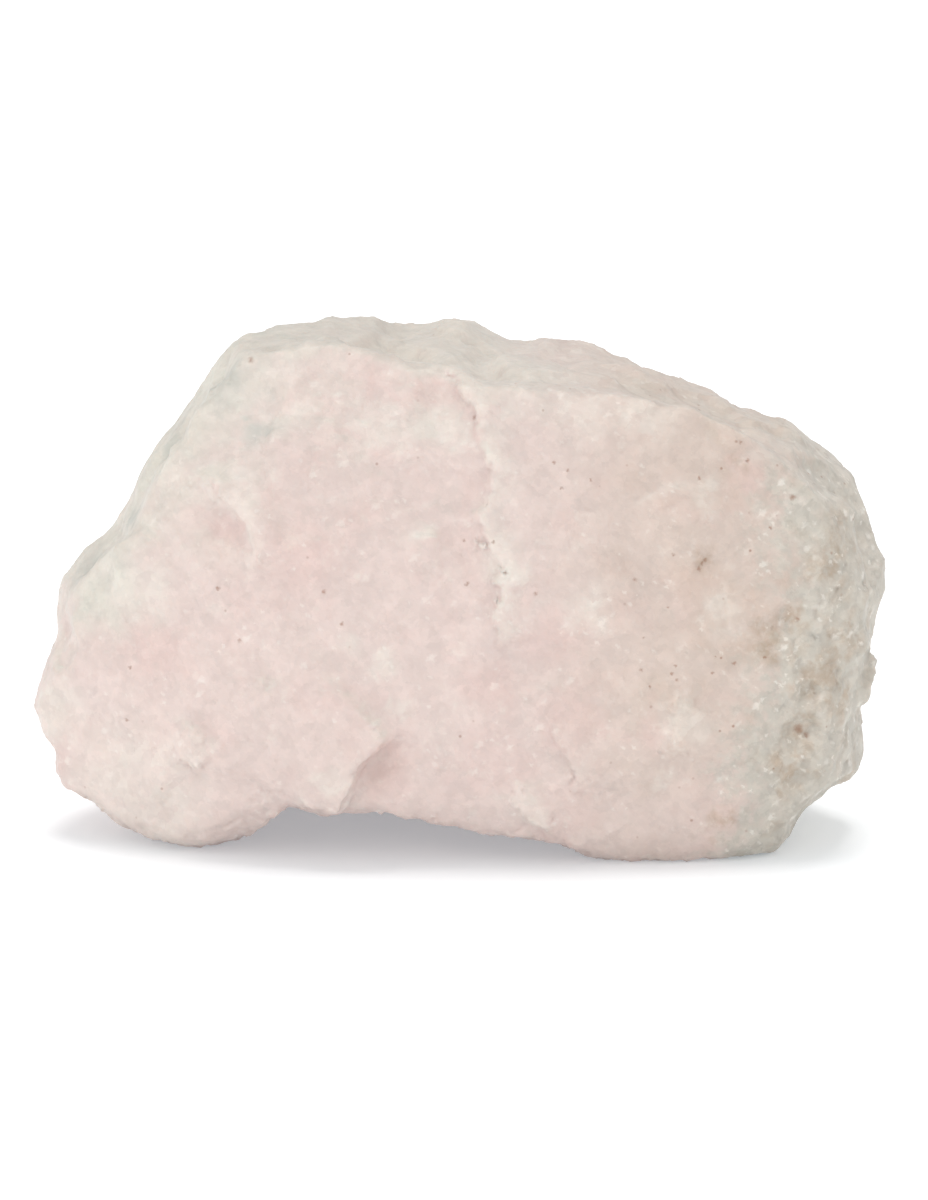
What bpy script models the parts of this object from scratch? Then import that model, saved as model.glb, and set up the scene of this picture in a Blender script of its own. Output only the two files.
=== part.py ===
"""Manganoan calcite hand specimen: one broken lump of massive pink calcite, standing on two feet.

Frame: X runs along the lump, Y from its front face to its back, Z up.
The origin is at the bottom centre of the lump, on the surface that it stands on.
The lump is lofted from three closed lines that run round it, seen from the front:
the rim of the front face, the girdle (its widest line) and the rim of the back.
Broken facets, ledges, pits and grain are then worked into that form, and its feet cut level.
"""

import math

import bmesh
import bpy
import numpy as np
from mathutils import Vector, kdtree, noise

NAME = "calcite_stone"
MM = 0.001

# --- driving dimensions, all in millimetres and degrees -------------------------------------

# The girdle from the front, as (across, up): a broken edge, so a polygon of its real corners.
GIRDLE = (
    # along the top, left to right
    (-24.9, 51.2), (-24.1, 52.2), (-22.7, 53.1), (-20.7, 53.2), (-19.4, 53.7), (-16.5, 53.4),
    (-14.7, 53.3), (-13.9, 53.8), (-12.1, 53.3), (-8.6, 53.4), (-7.6, 52.8), (-5.3, 52.3),
    (-3.2, 52.9), (-0.8, 53.3), (0.8, 53.2), (2.3, 52.1), (5.3, 50.2), (10.9, 50.1),
    (14.0, 50.4), (16.4, 49.3), (19.5, 47.9), (22.3, 46.6), (25.5, 45.5), (26.7, 45.5),
    (30.3, 43.4), (36.0, 40.8),
    # down the right side
    (40.4, 38.3), (41.8, 37.4), (42.5, 35.6), (43.7, 33.8), (45.3, 31.2), (45.8, 28.5),
    (45.5, 25.6), (44.5, 22.5), (43.7, 18.5), (44.0, 16.8), (43.5, 15.1), (42.6, 13.3),
    (43.0, 10.4), (42.7, 7.3), (41.6, 6.5), (39.1, 6.1), (38.2, 4.6), (35.9, 3.0),
    (35.8, 1.5), (34.4, 0.4), (33.0, -0.2),
    # the right foot, the hollow and the left foot
    (25.0, -0.3), (16.2, -0.1), (13.4, 0.4), (10.5, 2.0), (7.4, 2.6), (5.8, 2.9), (2.2, 2.6),
    (0.6, 3.1), (-2.0, 3.0), (-4.0, 3.8), (-7.7, 5.0), (-12.9, 4.9), (-14.5, 4.1), (-16.0, 4.6),
    (-17.8, 5.2), (-19.4, 4.5), (-20.5, 3.3), (-21.2, 2.1), (-23.4, 0.7), (-28.2, 0.2),
    (-32.4, 0.8), (-34.5, 1.6), (-36.6, 2.3),
    # up the left side
    (-38.7, 4.4), (-42.0, 5.6), (-43.0, 7.9), (-42.5, 9.2), (-44.2, 11.0), (-45.2, 14.1),
    (-44.9, 15.5), (-43.6, 18.6), (-42.4, 21.5), (-42.7, 26.0), (-42.4, 27.1), (-39.6, 30.5),
    (-37.1, 32.5), (-35.1, 35.0), (-33.2, 38.6), (-31.7, 40.9), (-29.6, 43.4),
)

# The rim of the front face, as (across, up): one long edge on top, then close inside the girdle.
FRONT_RIM = (
    (-21.5, 52.3), (-16.5, 53.2), (-12.0, 53.0), (-6.0, 51.8), (-1.0, 51.0), (2.5, 49.4),
    (10.0, 49.2), (18.0, 48.3), (26.0, 46.4), (32.0, 43.0), (35.5, 39.0), (38.2, 33.0),
    (38.6, 27.5), (37.8, 20.0), (36.0, 13.0), (33.0, 7.5), (29.5, 3.0), (25.0, 1.9),
    (16.5, 2.2), (10.5, 4.0), (2.0, 5.0), (-6.0, 7.0), (-13.0, 7.6), (-18.5, 7.5),
    (-22.0, 4.8), (-27.0, 3.1), (-33.0, 3.6), (-38.0, 6.2), (-41.0, 10.5), (-42.4, 14.8),
    (-40.3, 21.0), (-38.0, 28.5), (-33.0, 35.0), (-29.0, 41.5), (-24.5, 48.0),
)

CENTRE = (0.0, 25.0)  # bearings are measured round this point of the front view, 0 to the right

# By bearing: how far back the girdle runs, how full the edge between the front's rim and the
# girdle is (0 flat, 1 a quarter round), the back rim's reach as a share of the girdle's, and
# how far the feet sag below the line from the girdle to the back's rim.
GIRDLE_DEPTH = (
    (0, 2.0), (30, 6.0), (60, 13.0), (90, 16.0), (105, 14.0), (118, 6.0), (128, 0.0),
    (150, 0.0), (180, -1.0), (195, -3.0), (215, -8.0), (235, -10.0), (250, -10.0),
    (262, -11.0), (280, -14.0), (312, -13.5), (322, -10.0), (330, -5.0), (345, -1.0),
)
FRONT_FULLNESS = (
    (0, 0.8), (30, 0.6), (60, 0.15), (110, 0.1), (130, 0.4), (180, 0.6), (270, 0.8), (330, 0.8),
)
BACK_FULLNESS = 0.7
BACK_REACH = (
    (0, 0.76), (45, 0.84), (80, 0.86), (120, 0.78), (165, 0.72), (210, 0.86), (225, 0.95),
    (238, 1.08), (262, 1.10), (278, 1.04), (300, 0.94), (325, 0.84),
)
FOOT_SAG = (
    (196, 0.0), (212, 0.8), (232, 0.8), (246, 0.0), (276, 0.0), (292, 1.4), (318, 1.8), (340, 0.0),
)

LOFT_SPACING = 1.0  # between the points of a line round the lump
CAP_ROWS, EDGE_ROWS = 12, 9
CAP_HUB = 0.05  # the small middle of a cap, as a share of its rim

# The directions in which the lump's faces look: (across, up, out) of each.
FACES = {
    "front": ((1, 0, 0), (0, 0, 1), (0, -1, 0)),
    "back": ((-1, 0, 0), (0, 0, 1), (0, 1, 0)),
    "top": ((1, 0, 0), (0, 1, 0), (0, 0, 1)),
    "right": ((0, 1, 0), (0, 0, 1), (1, 0, 0)),
    "left": ((0, -1, 0), (0, 0, 1), (-1, 0, 0)),
}

# Flat broken facets: a point on each, the way it looks and how much of the old relief it keeps.
FACETS = (
    ((-28.0, 15.0, 28.0), (-0.62, 0.72, 0.30), 0.15),
    ((27.0, 15.5, 15.0), (0.52, 0.82, -0.22), 0.2),
    ((6.0, 21.5, 41.0), (0.12, 0.80, 0.58), 0.15),
    ((-2.0, 22.5, 18.0), (-0.04, 0.99, -0.10), 0.2),
    ((41.0, 9.0, 32.0), (0.88, 0.42, 0.22), 0.3),
    ((-40.0, 7.0, 13.0), (-0.80, 0.52, -0.28), 0.3),
)

# Ledges: the face, the step's height, how far the raised side runs before it fades, and the
# line of the step as (across, up) on that face. The side on the line's left hand is raised.
LEDGES = (
    # the long ragged ledge down the middle of the front
    ("front", 1.2, 9.0, ((-2.6, 52.2), (-0.6, 50.8), (0.3, 49.0), (1.4, 47.2), (1.9, 44.4), (3.1, 41.5),
                         (2.6, 38.6), (1.7, 37.4), (2.0, 35.1), (4.7, 31.6), (3.6, 30.4), (4.2, 27.6),
                         (3.4, 24.5), (4.4, 22.0))),
    # the brow across the upper front
    ("front", 0.9, 6.0, ((-9.0, 43.0), (-5.9, 42.1), (-3.9, 42.7), (-1.9, 42.2), (1.4, 41.4), (3.8, 41.9))),
    # the overhanging shoulder left of the hollow
    ("front", 2.0, 9.0, ((-12.6, 5.0), (-11.8, 7.1), (-10.9, 9.1), (-9.9, 11.3), (-8.5, 12.9), (-6.4, 14.7))),
    # the ridge on the upper left and its lower branch
    ("front", 0.9, 7.0, ((-25.8, 41.3), (-24.2, 38.6), (-22.6, 37.6), (-21.6, 34.7), (-20.4, 30.5))),
    ("front", 0.9, 5.0, ((-24.6, 41.6), (-27.3, 39.7), (-29.4, 37.8), (-32.0, 35.2))),
    # plates and small steps low on the front
    ("front", 0.7, 4.0, ((-26.0, 14.9), (-27.5, 14.6), (-29.3, 12.2), (-28.9, 10.3), (-25.0, 10.4))),
    ("front", 0.6, 5.0, ((-20.7, 20.2), (-21.0, 17.5), (-21.2, 15.5))),
    ("front", 0.9, 5.0, ((5.4, 9.6), (6.0, 6.8), (7.3, 5.6), (9.4, 4.0))),
    ("front", 0.8, 5.0, ((22.6, 19.4), (21.2, 18.6), (21.6, 16.0), (20.8, 12.6))),
    ("front", 0.6, 4.0, ((27.5, 29.0), (27.2, 24.6))),
    ("front", 0.7, 5.0, ((9.0, 16.2), (9.4, 14.0), (11.0, 13.2), (11.6, 11.0), (11.2, 8.8))),
    # shelves of the top face, running back from the front edge
    ("top", 0.7, 8.0, ((-5.0, -14.0), (-8.5, -4.0), (-6.0, 4.0), (-9.0, 14.0))),
    ("top", 0.7, 9.0, ((7.5, 16.0), (9.0, 7.0), (4.0, 0.0), (5.0, -12.0))),
    ("top", 0.7, 6.0, ((26.0, 12.0), (17.0, 2.0), (11.0, 3.5))),
    # steps of the back
    ("back", 1.8, 12.0, ((-20.0, 46.0), (-12.0, 36.0), (-14.0, 28.0), (-6.0, 20.0), (-8.0, 10.0))),
    ("back", 1.5, 10.0, ((30.0, 14.0), (20.0, 20.0), (14.0, 18.0), (4.0, 24.0))),
    ("back", 1.2, 8.0, ((8.0, 46.0), (12.0, 38.0), (20.0, 34.0), (28.0, 36.0))),
    ("back", 1.1, 7.0, ((-34.0, 22.0), (-26.0, 18.0), (-24.0, 10.0))),
)

# Pits: a point of the surface, its radius and its depth.
PITS = (
    ((33.6, -11.0, 26.1), 1.7, 1.0), ((38.6, -8.0, 27.6), 2.2, 1.3), ((34.8, -10.0, 14.4), 2.4, 1.7),
    ((38.6, -7.5, 20.4), 2.4, 1.3), ((35.6, -9.5, 18.6), 1.8, 1.1), ((35.0, -9.5, 9.4), 2.0, 1.1),
    ((38.0, -7.5, 36.6), 1.8, 0.8), ((24.6, -16.5, 31.4), 1.6, 0.9), ((26.2, -16.0, 32.8), 1.2, 0.6),
    ((-37.6, -10.5, 29.2), 2.0, 1.0), ((-29.4, -8.0, 43.2), 2.0, 0.9), ((-40.6, -6.0, 23.0), 1.6, 0.8),
    ((-8.0, -16.8, 11.0), 3.2, 1.3), ((-24.0, -16.5, 35.6), 2.6, 0.8), ((-4.0, -17.5, 39.5), 3.5, 0.7),
    ((-2.0, -15.5, 49.0), 2.6, 0.8), ((12.0, 24.0, 28.0), 4.0, 1.6), ((-16.0, 22.0, 38.0), 3.0, 1.2),
    ((30.0, 16.0, 32.0), 3.4, 1.4), ((41.0, 4.0, 12.0), 2.6, 1.2), ((-36.0, 8.0, 22.0), 3.0, 1.2),
)

# Grain: the size of the broken crystals, and how steeply their cleaved faces tilt.
COARSE_GRAIN, COARSE_TILT = 7.0, 0.09
FINE_GRAIN, FINE_TILT = 3.2, 0.07
SWELL_SIZE, SWELL_HEIGHT = 16.0, 0.4
SWELL_BEHIND = 0.9  # the same on the sides away from the front face
SHELF_SIZE, SHELF_HEIGHT = 17.0, 1.0  # winding cleavage shelves, on those sides only
CRUST_FROM, CRUST_FULL = 24.0, 36.0  # across: where the sugary right-hand end begins and is full
CRUST_GAIN = 1.2
GIRDLE_CALM = 0.8  # how much of the relief is held back at the girdle, which is drawn exactly
RIM_CALM = 1.0  # how much of the shelves is held back at the front face's rim
CALM_REACH = 9.0
BACK_SOFTNESS = 5  # how far the girdle's small corners are smoothed away towards the back

WORKING_VOXEL = 0.75
DECIMATE_TO = 9000  # triangles of the broken surface
FOOT_CUT = 0.45  # how far up the feet are cut level


def by_bearing(table, bearing):
    """A table's value at each bearing, carried on from its last row round to its first."""
    bearings, values = np.array(table, float).T
    return np.interp(bearing, bearings, values, period=360.0)


def front_depth(across, up):
    """Y of the front face: nearly flat in the middle, falling back towards its ends and top."""
    nearest, turn = -19.0, 0.03
    end_fall = 9.0 * (np.abs(across - 3.0) / 43.0) ** 3.2
    height_fall = 5.5 * (np.abs(up - 20.0) / 30.0) ** 2.4
    return nearest - turn * across + end_fall + height_fall


def back_depth(across, up):
    """Y of the back: fuller than the front."""
    end_fall = 9.0 * (np.abs(across + 4.0) / 42.0) ** 2.4
    height_fall = 5.0 * (np.abs(up - 18.0) / 30.0) ** 2.2
    return 25.0 - end_fall - height_fall


def polar(points):
    """Bearing and reach from CENTRE of points in the front view."""
    across, up = (np.asarray(points, float) - CENTRE).T
    return np.degrees(np.arctan2(up, across)) % 360.0, np.hypot(across, up)


def walked(outline, spacing):
    """Points along a closed polygon, about `spacing` apart, with its corners among them."""
    corners = np.array(outline, float)
    found = []
    for start, end in zip(corners, np.roll(corners, -1, axis=0)):
        steps = max(1, round(math.dist(start, end) / spacing))
        found.extend(start + (end - start) * step / steps for step in range(steps))
    return np.array(found)


def softened(values, spread):
    """A closed run of values with everything shorter than the spread smoothed out of it."""
    shifts = np.arange(-3 * spread, 3 * spread + 1)
    weights = np.exp(-0.5 * (shifts / spread) ** 2)
    return sum(weight * np.roll(values, shift) for weight, shift in zip(weights, shifts)) / weights.sum()


def smooth_step(value):
    value = np.clip(value, 0.0, 1.0)
    return value * value * (3.0 - 2.0 * value)


def loft_rows():
    """The closed lines round the lump, from the middle of the front to the middle of the back."""
    girdle = walked(GIRDLE, LOFT_SPACING)
    bearing, girdle_reach = polar(girdle)
    girdle_depth = by_bearing(GIRDLE_DEPTH, bearing)
    ray = np.stack([np.cos(np.radians(bearing)), np.sin(np.radians(bearing))])

    def point_row(reach, depth):
        across, up = ray * reach + np.array(CENTRE)[:, None]
        return np.stack([across, depth(across, up) if callable(depth) else depth, up], axis=1)

    rim_bearing, rim_reach = polar(FRONT_RIM)
    front_reach = np.interp(bearing, rim_bearing, rim_reach, period=360.0)
    back_reach = softened(girdle_reach, BACK_SOFTNESS) * by_bearing(BACK_REACH, bearing)
    front_rim = point_row(front_reach, front_depth)
    girdle_row = point_row(girdle_reach, girdle_depth)
    back_rim = point_row(back_reach, back_depth)

    rows = [point_row(front_reach * share, front_depth) for share in np.linspace(CAP_HUB, 1.0, CAP_ROWS)]
    fullness = by_bearing(FRONT_FULLNESS, bearing)
    for step in np.linspace(0.0, 1.0, EDGE_ROWS)[1:]:
        spread = step + fullness * (math.sin(step * math.pi / 2) - step)
        retreat = step + fullness * (1.0 - math.cos(step * math.pi / 2) - step)
        share = np.stack([spread, retreat, spread], axis=1)
        rows.append(front_rim + (girdle_row - front_rim) * share)
    for step in np.linspace(0.0, 1.0, EDGE_ROWS + 3)[1:]:
        retreat = step + BACK_FULLNESS * (math.sin(step * math.pi / 2) - step)
        shrink = step + BACK_FULLNESS * (1.0 - math.cos(step * math.pi / 2) - step)
        row = girdle_row + (back_rim - girdle_row) * (shrink, retreat, shrink)
        row[:, 2] -= by_bearing(FOOT_SAG, bearing) * math.sin(step * math.pi)
        rows.append(row)
    rows.extend(point_row(back_reach * share, back_depth) for share in np.linspace(1.0, CAP_HUB, CAP_ROWS)[1:])
    return rows


def lofted_mesh(rows):
    """A closed skin over the rows, each joined to the next and the two ends filled."""
    skin = bmesh.new()
    rings = [[skin.verts.new(point * MM) for point in row] for row in rows]
    for ring, following in zip(rings, rings[1:]):
        for here in range(len(ring)):
            skin.faces.new((ring[here], ring[here - 1], following[here - 1], following[here]))
    skin.faces.new(rings[0])
    skin.faces.new(reversed(rings[-1]))
    bmesh.ops.recalc_face_normals(skin, faces=skin.faces)
    mesh = bpy.data.meshes.new(NAME)
    skin.to_mesh(mesh)
    skin.free()
    return mesh


def remodelled(stone, kind, **settings):
    """Replaces the stone's mesh by what a modifier of this kind makes of it."""
    modifier = stone.modifiers.new(kind.lower(), kind)
    for setting, value in settings.items():
        setattr(modifier, setting, value)
    graph = bpy.context.evaluated_depsgraph_get()
    mesh = bpy.data.meshes.new_from_object(stone.evaluated_get(graph))
    stone.modifiers.remove(modifier)
    stone.data = mesh


def cut_facets(points):
    """Flattens what stands out past each broken facet."""
    for on_facet, looks, keep in FACETS:
        normal = np.array(looks) / np.linalg.norm(looks)
        proud = np.maximum((points - on_facet) @ normal, 0.0)
        points -= np.outer(proud * (1.0 - keep), normal)


def turned_to(normals, out):
    """1 where the surface looks along `out`, fading to 0 where it turns well away."""
    return smooth_step((normals @ np.array(out, float) - 0.25) / 0.35)


def beside_line(places, line):
    """For 2D places: the signed distance from a line of points, positive on its left, and how
    far along it the nearest point lies, from 0 to 1."""
    line = np.array(line, float)
    lengths = np.linalg.norm(np.diff(line, axis=0), axis=1)
    travelled = np.concatenate([[0.0], np.cumsum(lengths)])
    nearest = np.full(len(places), np.inf)
    signed, along = np.zeros(len(places)), np.zeros(len(places))
    for index, (start, end) in enumerate(zip(line, line[1:])):
        run = end - start
        offset = places - start
        share = np.clip(offset @ run / (run @ run), 0.0, 1.0)
        distance = np.linalg.norm(offset - np.outer(share, run), axis=1)
        side = np.sign(run[0] * offset[:, 1] - run[1] * offset[:, 0])
        closer = distance < nearest
        nearest[closer] = distance[closer]
        signed[closer] = (distance * side)[closer]
        along[closer] = (travelled[index] + share * lengths[index])[closer] / travelled[-1]
    return signed, along


def raise_ledges(points, normals):
    """Raises the ground on one side of each ledge's line: a sharp step that fades behind."""
    half_step, end_taper = 0.35, 0.14
    for face, height, fade, line in LEDGES:
        across, up, out = (np.array(axis, float) for axis in FACES[face])
        places = np.stack([points @ across, points @ up], axis=1)
        signed, along = beside_line(places, line)
        profile = smooth_step((signed + half_step) / (2.0 * half_step))
        profile *= np.exp(-np.maximum(signed, 0.0) / fade)
        ends = smooth_step(along / end_taper) * smooth_step((1.0 - along) / end_taper)
        rise = height * profile * ends * turned_to(normals, out)
        points += np.outer(rise, out)


def sink_pits(points, normals):
    """Presses a round-bottomed pit in at each place."""
    for middle, radius, depth in PITS:
        reach = np.linalg.norm(points - middle, axis=1) / radius
        points -= normals * (depth * smooth_step(1.0 - reach / 1.6))[:, None]


def grain(points, size, tilt):
    """Height of broken crystal faces: each cell of the grain is a plane, tilted its own way."""
    heights = np.empty(len(points))
    for index, point in enumerate(points):
        place = Vector(point / size)
        middle = noise.voronoi(place)[1][0]
        lean = noise.cell_vector(middle * 9.7) - Vector((0.5, 0.5, 0.5))
        heights[index] = (place - middle).dot(lean) * 2.0 * tilt * size
    return heights


def fractal(points, size, octaves):
    """Slow, natural rise and fall: about -1 to 1, over features of this size."""
    return np.array([noise.fractal(Vector(point / size), 0.9, 2.1, octaves) for point in points])


def shelves(points):
    """Flat treads with winding risers between them, as cleavage leaves them."""
    level = fractal(points, SHELF_SIZE, 2) * 2.5
    whole = np.floor(level)
    return (whole + smooth_step((level - whole - 0.3) / 0.35)) * SHELF_HEIGHT


def near(points, outline, depth):
    """1 at a closed line with this depth along it, fading to 0 at CALM_REACH from it."""
    tree = kdtree.KDTree(len(outline))
    for index, (across, up) in enumerate(outline):
        tree.insert((across, depth[index], up), index)
    tree.balance()
    distance = np.array([tree.find(point)[2] for point in points])
    return smooth_step(1.0 - distance / CALM_REACH)


def work_surface(mesh):
    """Works facets, ledges, pits and grain into the even mesh."""
    count = len(mesh.vertices)
    points, normals = np.empty(count * 3), np.empty(count * 3)
    mesh.vertices.foreach_get("co", points)
    mesh.vertices.foreach_get("normal", normals)
    points, normals = points.reshape(-1, 3) / MM, normals.reshape(-1, 3)
    girdle, rim = walked(GIRDLE, LOFT_SPACING), walked(FRONT_RIM, LOFT_SPACING)
    calm = 1.0 - GIRDLE_CALM * near(points, girdle, by_bearing(GIRDLE_DEPTH, polar(girdle)[0]))
    rim_calm = 1.0 - RIM_CALM * near(points, rim, front_depth(*rim.T))
    cut_facets(points)
    behind = (1.0 - turned_to(normals, FACES["front"][2])) * rim_calm
    crust = smooth_step((points[:, 0] - CRUST_FROM) / (CRUST_FULL - CRUST_FROM))
    relief = fractal(points, SWELL_SIZE, 3) * (SWELL_HEIGHT + (SWELL_BEHIND - SWELL_HEIGHT) * behind)
    relief += (shelves(points) - SHELF_HEIGHT) * behind
    relief += grain(points, COARSE_GRAIN, COARSE_TILT)
    relief += grain(points, FINE_GRAIN, FINE_TILT) * (1.0 + CRUST_GAIN * crust)
    raise_ledges(points, normals)
    sink_pits(points, normals)
    points += normals * (relief * calm)[:, None]
    mesh.vertices.foreach_set("co", (points * MM).ravel())
    mesh.update()


def stand_on_feet(mesh):
    """Cuts the feet level at the ground and puts the origin under the middle of the stone."""
    solid = bmesh.new()
    solid.from_mesh(mesh)
    everything = solid.verts[:] + solid.edges[:] + solid.faces[:]
    ground = (0.0, 0.0, FOOT_CUT * MM)
    bmesh.ops.bisect_plane(solid, geom=everything, dist=0.02 * MM, plane_co=ground,
                           plane_no=(0.0, 0.0, -1.0), clear_outer=True, use_snap_center=True)
    rims = [edge for edge in solid.edges if edge.is_boundary]
    soles = bmesh.ops.holes_fill(solid, edges=rims, sides=0)["faces"]
    bmesh.ops.triangulate(solid, faces=soles)
    bmesh.ops.recalc_face_normals(solid, faces=solid.faces)
    low, high = (Vector(pick(vert.co[axis] for vert in solid.verts) for axis in range(3))
                 for pick in (min, max))
    middle = (low + high) / 2
    bmesh.ops.translate(solid, verts=solid.verts, vec=(-middle.x, -middle.y, -low.z))
    solid.to_mesh(mesh)
    solid.free()


def calcite():
    """The finish: pale pink, waxy and slightly rough, with no metal in it."""
    finish = bpy.data.materials.new("manganoan_calcite")
    finish.use_nodes = True
    surface = finish.node_tree.nodes["Principled BSDF"]
    surface.inputs["Base Color"].default_value = (0.80, 0.66, 0.61, 1.0)
    surface.inputs["Roughness"].default_value = 0.5
    surface.inputs["Metallic"].default_value = 0.0
    return finish


def make_stone(collection):
    stone = bpy.data.objects.new(NAME, lofted_mesh(loft_rows()))
    collection.objects.link(stone)
    remodelled(stone, "REMESH", mode="VOXEL", voxel_size=WORKING_VOXEL * MM)
    work_surface(stone.data)
    triangles = 2 * len(stone.data.polygons)
    remodelled(stone, "DECIMATE", ratio=DECIMATE_TO / triangles)
    stand_on_feet(stone.data)
    stone.data.name = NAME
    stone.data.materials.append(calcite())
    return stone


def main():
    for old in list(bpy.data.objects):
        bpy.data.objects.remove(old)
    collection = bpy.data.collections.new("manganoan_calcite_specimen")
    bpy.context.scene.collection.children.link(collection)
    make_stone(collection)


main()
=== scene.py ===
"""Manganoan calcite hand specimen: the finished look of one broken lump of massive pink calcite.

Frame: X runs along the lump, Y from its front face to its back, Z up, with the origin at the
bottom centre. Sizes are in metres in the settings and in millimetres in the tables below.
"""

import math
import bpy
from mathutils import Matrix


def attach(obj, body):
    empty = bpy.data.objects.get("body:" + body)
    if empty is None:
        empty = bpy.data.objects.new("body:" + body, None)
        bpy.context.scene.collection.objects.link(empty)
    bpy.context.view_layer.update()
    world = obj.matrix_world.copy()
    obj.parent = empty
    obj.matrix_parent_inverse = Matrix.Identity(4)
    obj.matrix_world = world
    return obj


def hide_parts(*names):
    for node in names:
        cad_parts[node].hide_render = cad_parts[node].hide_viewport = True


bl_info = {
    "name": "Manganoan Calcite Specimen",
    "version": (1, 0, 0),
    "blender": (4, 5, 0),
    "location": "View3D > Sidebar > Calcite",
    "description": "Works a lump of pink calcite to its broken surface, finishes it and lights it",
    "category": "Object",
}

import bpy
import numpy as np
from mathutils import Vector, noise

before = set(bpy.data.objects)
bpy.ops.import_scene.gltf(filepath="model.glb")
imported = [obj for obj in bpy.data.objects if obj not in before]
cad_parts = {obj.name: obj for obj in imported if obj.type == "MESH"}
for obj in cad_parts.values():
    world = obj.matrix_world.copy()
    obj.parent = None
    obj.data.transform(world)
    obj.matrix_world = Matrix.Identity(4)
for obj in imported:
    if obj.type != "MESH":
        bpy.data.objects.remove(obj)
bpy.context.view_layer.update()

NODE = "calcite_stone"
MM = 0.001

# Ledges of the front face: height, how far the raised side runs before it fades, how pale its
# edge is (0 to 1: white cleaved calcite, and in part a painted highlight where the step catches the
# light), and the line of the step as (across, up). The line's left hand is raised.
LEDGES = (
    # the long ragged ledge down the middle
    (0.65, 4.0, 1.0, ((-3.4, 51.4), (-1.2, 50.4), (0.0, 49.0), (1.2, 46.8), (1.7, 44.0), (2.9, 41.0),
                      (2.4, 38.2), (1.5, 37.0), (1.8, 34.7), (4.5, 31.2), (3.4, 30.0), (4.0, 27.2),
                      (3.2, 24.1), (4.2, 21.6))),
    # the brow across the upper front
    (0.12, 4.0, 0.1, ((-9.2, 42.6), (-6.1, 41.7), (-4.1, 42.3), (-2.1, 41.8), (1.2, 41.0), (3.6, 41.5))),
    # the overhanging shoulder left of the hollow
    (0.4, 9.0, 0.3, ((-12.8, 4.6), (-12.0, 6.7), (-11.1, 8.7), (-10.1, 10.9), (-8.7, 12.5), (-6.6, 14.3))),
    # the ridge on the upper left and its lower branch
    (0.3, 5.0, 0.4, ((-26.0, 40.9), (-24.4, 38.2), (-22.8, 37.2), (-21.8, 34.3), (-20.6, 30.1))),
    (0.3, 4.0, 0.3, ((-24.8, 41.2), (-27.5, 39.3), (-29.6, 37.4), (-32.2, 34.8))),
    # plates and small steps low on the front
    (0.35, 4.0, 0.7, ((-26.2, 14.5), (-27.7, 14.2), (-29.5, 11.8), (-29.1, 9.9), (-25.2, 10.0))),
    (0.3, 4.0, 0.2, ((-20.9, 19.8), (-21.2, 17.1), (-21.4, 15.1))),
    (0.45, 4.0, 0.5, ((5.2, 9.2), (5.8, 6.4), (7.1, 5.2), (9.2, 3.6))),
    (0.35, 4.0, 0.4, ((22.4, 19.0), (21.0, 18.2), (21.4, 15.6), (20.6, 12.2))),
    (0.3, 3.0, 0.3, ((27.3, 28.6), (27.0, 24.2))),
    (0.3, 4.0, 0.3, ((8.8, 15.8), (9.2, 13.6), (10.8, 12.8), (11.4, 10.6), (11.0, 8.4))),
)

# Patches painted on the surface, each ((across, depth, up), radius): where the manganese is
# richest, where bruises and cleaved edges are pale and, in part, where light is painted (below),
# where iron has stained and where clay clings.
PINK_SPOTS = (
    ((-7.7, -19.8, 10.6), 3.2), ((-31.8, -16.2, 22.3), 3.4), ((-23.9, -17.4, 34.6), 2.4),
    ((11.6, -22.2, 15.4), 3.4), ((28.5, -18.5, 40.8), 2.4), ((-1.4, -16.0, 48.4), 2.6),
    ((19.7, -21.7, 15.0), 2.2), ((-16.2, -20.2, 32.0), 4.0), ((-7.5, -15.0, 51.6), 2.8),
    ((3.0, -21.7, 19.5), 3.0), ((9.0, -22.1, 24.5), 3.0), ((-13.0, -18.0, 48.5), 2.6),
)
# The pale spots are partly pale bruised calcite and partly painted light: the brightly lit left end, the
# left foot and the lit rims and ledge edges painted lighter.
PALE_SPOTS = (
    ((3.0, -21.0, 36.8), 1.5), ((4.0, -21.7, 32.0), 2.2), ((2.2, -17.7, 48.2), 2.0),
    ((-7.8, -21.2, 21.2), 1.5), ((-6.0, -21.2, 17.8), 1.3), ((-11.5, -21.0, 23.5), 1.5),
    ((-13.2, -22.4, 9.5), 1.6), ((-32.3, -15.7, 28.0), 3.4), ((-33.0, -14.0, 6.5), 7.5),
    ((-27.4, -18.5, 12.4), 2.4), ((7.0, -21.4, 7.0), 2.2), ((22.2, -22.0, 15.3), 2.6),
    ((26.7, -20.4, 27.0), 2.2), ((12.0, -17.8, 47.2), 3.4), ((19.0, -17.7, 46.6), 3.2),
    ((-22.3, -18.9, 37.9), 2.0), ((13.0, -22.2, 27.3), 2.2),
    ((-41.0, -8.0, 14.0), 4.0), ((24.5, -18.5, 38.5), 2.0),
)
STAINS = (
    ((34.7, -18.7, 13.8), 2.0), ((33.2, -19.3, 25.8), 1.7), ((24.3, -20.8, 31.8), 1.1),
    ((37.5, -17.8, 31.0), 2.4), ((38.6, -17.7, 16.8), 2.0), ((30.6, -20.2, 23.6), 2.0),
    ((36.5, -18.6, 19.4), 2.6), ((34.0, -18.8, 9.4), 2.4), ((39.2, -17.5, 23.2), 2.2),
    ((28.2, -17.7, 42.0), 0.9), ((26.6, -19.6, 4.5), 1.5), ((38.0, -16.0, 34.5), 2.0),
)
GREY_SPOTS = (
    ((-38.0, -7.5, 28.4), 2.2), ((-29.7, -8.3, 42.2), 2.0), ((-34.0, -10.0, 34.5), 1.6),
    ((-24.0, -12.0, 48.0), 2.4), ((-39.5, -6.0, 24.0), 1.8), ((-21.0, -17.0, 45.0), 1.8),
)
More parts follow.
